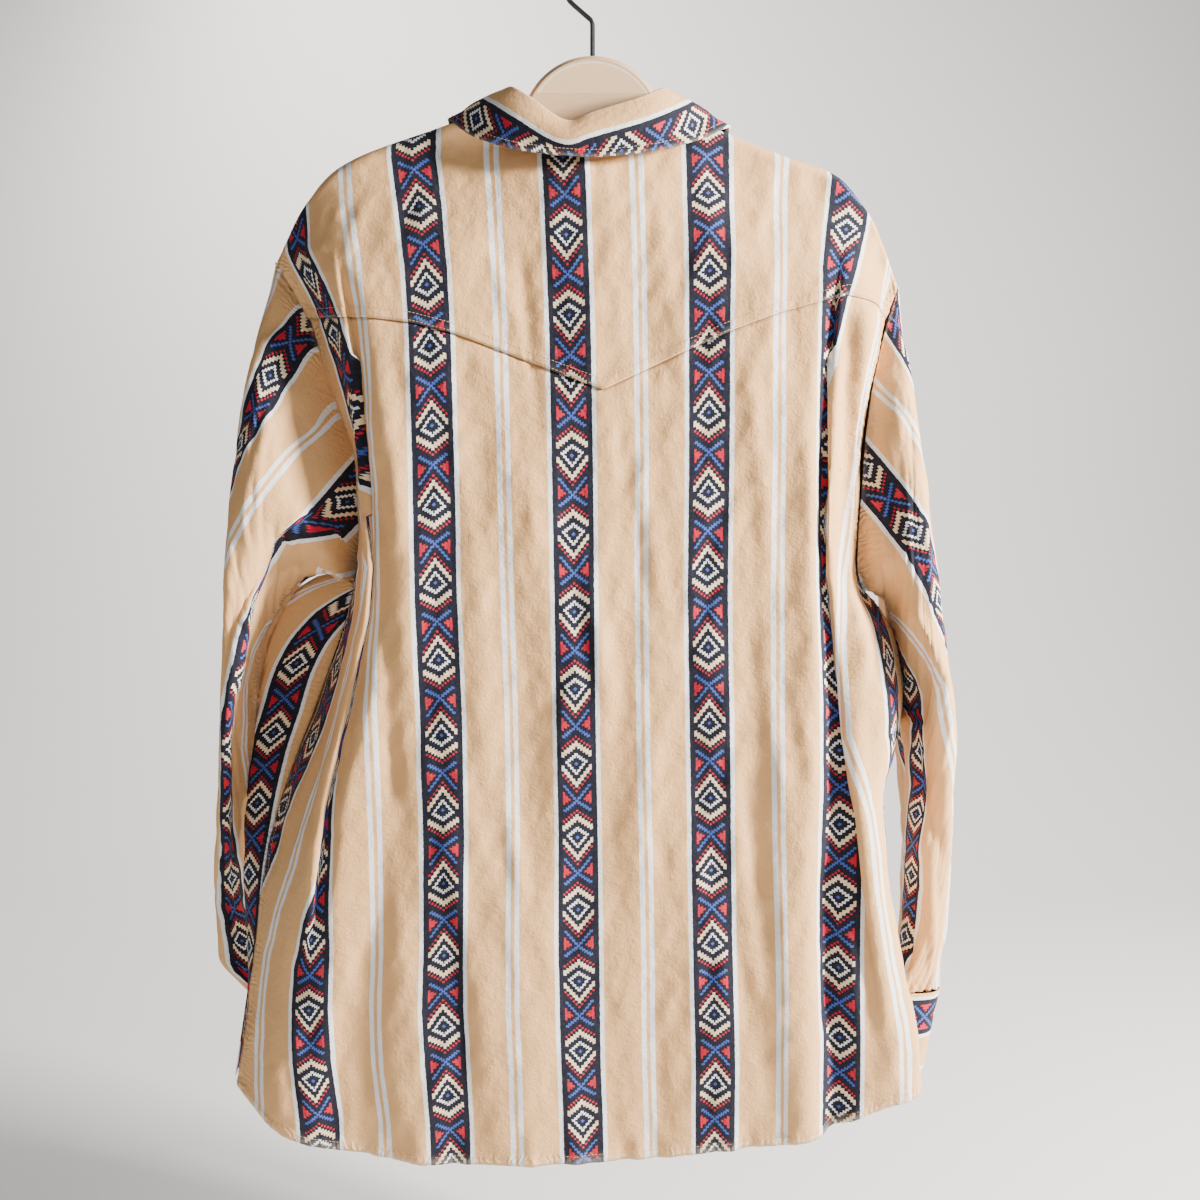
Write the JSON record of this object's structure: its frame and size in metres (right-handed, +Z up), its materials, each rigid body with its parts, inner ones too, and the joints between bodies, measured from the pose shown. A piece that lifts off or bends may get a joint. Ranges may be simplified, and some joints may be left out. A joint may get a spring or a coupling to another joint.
{
  "type": "western snap shirt on a wooden hanger",
  "caption": "Long-sleeved striped western snap shirt with a pointed back yoke and a turned-down collar, hanging flat on a wooden hanger.",
  "frame": {"origin": "inside top of the hanger's hook, where the rod or wall hook carries it", "axes": "+Z up, +Y the way the shirt's front faces, +X to the wearer's right; the back of the shirt faces -Y"},
  "size_m": [0.6647, 0.1637, 0.99],
  "materials": {
    "cloth": "soft matt cotton twill, tan with printed stripes",
    "trim_cloth": "soft matt cotton twill, cut on the dark band",
    "hanger_wood": "clear satin lacquer",
    "hook_wire": "bright plated wire",
    "snap_pearl": "pearl snap cap in a metal rim"
  },
  "bodies": {
    "root": {"back": "cloth", "yoke_back": "cloth", "front_left": "cloth", "front_right": "cloth", "yoke_front_left": "cloth", "yoke_front_right": "cloth", "placket": "cloth", "sleeve_left": "cloth", "sleeve_right": "cloth", "sleeve_placket_left": "cloth", "sleeve_placket_right": "cloth", "cuff_left": "trim_cloth", "cuff_right": "trim_cloth", "collar_stand": "cloth", "collar": "trim_cloth", "hanger": "hanger_wood", "hook": "hook_wire", "snap_front_1": "snap_pearl", "snap_front_2": "snap_pearl", "snap_front_3": "snap_pearl", "snap_front_4": "snap_pearl", "snap_front_5": "snap_pearl", "snap_front_6": "snap_pearl", "snap_front_7": "snap_pearl", "snap_cuff_left_1": "snap_pearl", "snap_cuff_left_2": "snap_pearl", "snap_cuff_right_1": "snap_pearl", "snap_cuff_right_2": "snap_pearl"}
  },
  "joints": []
}
